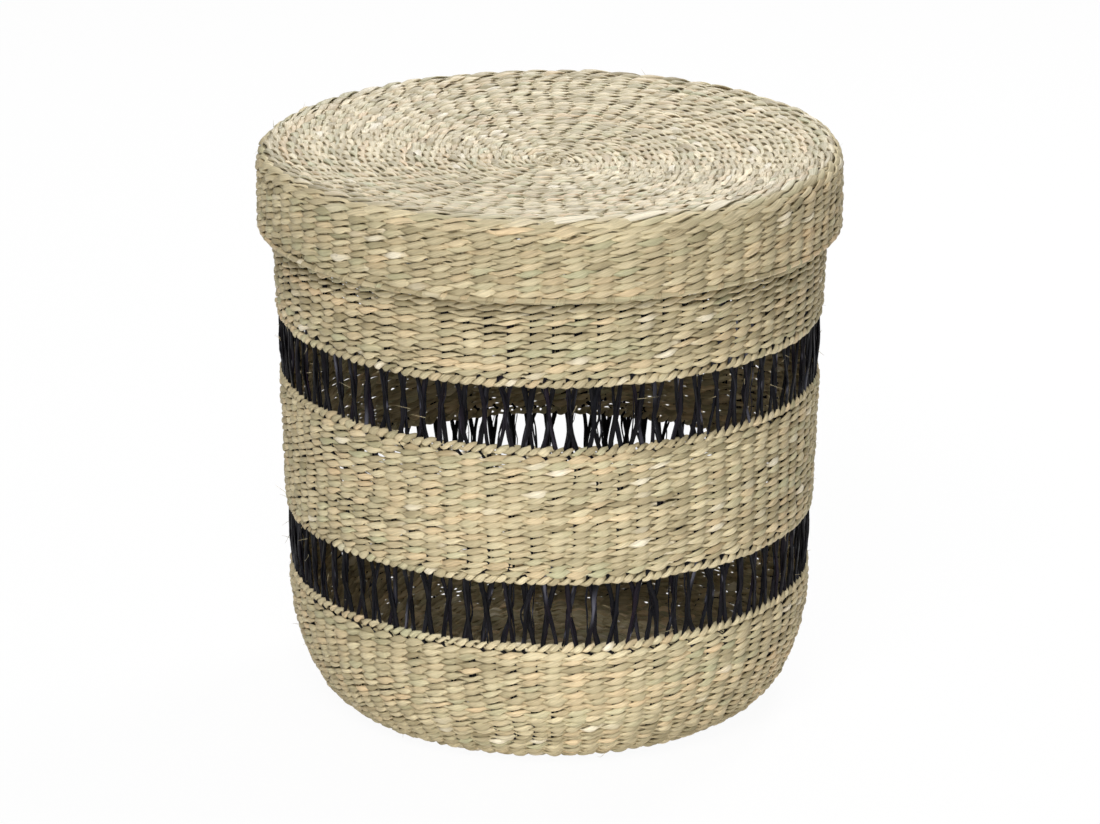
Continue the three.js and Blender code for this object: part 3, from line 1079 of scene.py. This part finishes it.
floor_material = bpy.data.materials.new("white_floor")
floor_material.use_nodes = True
tree = floor_material.node_tree
tree.nodes.clear()
matt = node(tree, "ShaderNodeBsdfDiffuse")
matt.inputs["Color"].default_value = FLOOR_WHITE
glow = node(tree, "ShaderNodeEmission")
glow.inputs["Strength"].default_value = 1.0
both = node(tree, "ShaderNodeMixShader")
path = node(tree, "ShaderNodeLightPath")
seen = node(tree, "ShaderNodeMath", operation="MULTIPLY")
seen.inputs[1].default_value = FLOOR_GLOW
tree.links.new(path.outputs["Is Camera Ray"], seen.inputs[0])
tree.links.new(seen.outputs[0], both.inputs[0])
tree.links.new(matt.outputs[0], both.inputs[1])
tree.links.new(glow.outputs[0], both.inputs[2])
output = node(tree, "ShaderNodeOutputMaterial")
tree.links.new(both.outputs[0], output.inputs[0])

floor_mesh = bpy.data.meshes.new("floor")
floor_mesh.from_pydata(
    [(-FLOOR_HALF, -FLOOR_HALF, 0), (FLOOR_HALF, -FLOOR_HALF, 0), (FLOOR_HALF, FLOOR_HALF, 0),
     (-FLOOR_HALF, FLOOR_HALF, 0)], [], [(0, 1, 2, 3)])
floor_mesh.materials.append(floor_material)
floor = bpy.data.objects.new("floor", floor_mesh)
floor.location.z = -FLOOR_DROP
bpy.context.scene.collection.objects.link(floor)

world = bpy.data.worlds.new("studio")
bpy.context.scene.world = world
world.use_nodes = True
tree = world.node_tree
tree.nodes.clear()
ambient = node(tree, "ShaderNodeBackground")
ambient.inputs["Strength"].default_value = AMBIENT_STRENGTH
white = node(tree, "ShaderNodeBackground")
white.inputs["Strength"].default_value = 1.0
both = node(tree, "ShaderNodeMixShader")
path = node(tree, "ShaderNodeLightPath")
tree.links.new(path.outputs["Is Camera Ray"], both.inputs[0])
tree.links.new(ambient.outputs[0], both.inputs[1])
tree.links.new(white.outputs[0], both.inputs[2])
output = node(tree, "ShaderNodeOutputWorld")
tree.links.new(both.outputs[0], output.inputs[0])


def softbox(name, place, aim, size, power):
    lamp = bpy.data.lights.new(name, "AREA")
    lamp.shape = "RECTANGLE"
    lamp.size, lamp.size_y = size
    lamp.energy = power
    made = bpy.data.objects.new(name, lamp)
    made.location = place
    made.rotation_euler = (Vector(aim) - Vector(place)).to_track_quat("-Z", "Y").to_euler()
    bpy.context.scene.collection.objects.link(made)


# Lamps: name, place, point they are aimed at, width and height, and power in watts
LAMPS = (
    ("front_box", (-0.4, -1.95, 2.15), (0, 0, crest_height / 2), (1.2, 0.9), 49.5),
    ("low_box", (0.15, -2.2, 0.16), (0, 0, 0.04), (1.6, 0.3), 8.3),
    ("bottom_box", (0, -0.42, 0.008), (0, -0.13, 0.015), (0.4, 0.08), 0.55),
    ("left_box", (-1.3, 0.6, 1.5), (-0.05, 0, crest_height), (0.5, 0.5), 2),
    ("right_box", (0.75, 1.0, 1.8), (0.05, 0, crest_height), (0.5, 0.5), 19),
    ("back_box", (0, 1.9, 1.5), (0, 0, crest_height), (1.6, 0.7), 15))
for name, place, aim, size, power in LAMPS:
    softbox(name, place, aim, size, power)

CAMERA_BACK = 2.6828
CAMERA_ABOVE_LID = 0.7718
CAMERA_ASIDE = 0.0001
CAMERA_PITCH = 18.41
SENSOR_WIDTH = 36
FOCAL_LENGTH = 152.98
lens = bpy.data.cameras.new("camera")
lens.sensor_width = SENSOR_WIDTH
lens.lens = FOCAL_LENGTH
camera = bpy.data.objects.new("camera", lens)
camera.location = (CAMERA_ASIDE, -CAMERA_BACK, lid_bottom + CAMERA_ABOVE_LID)
camera.rotation_euler = (math.radians(90 - CAMERA_PITCH), 0, 0)
bpy.context.scene.collection.objects.link(camera)
bpy.context.scene.camera = camera
bpy.context.scene.view_settings.view_transform = "Standard"
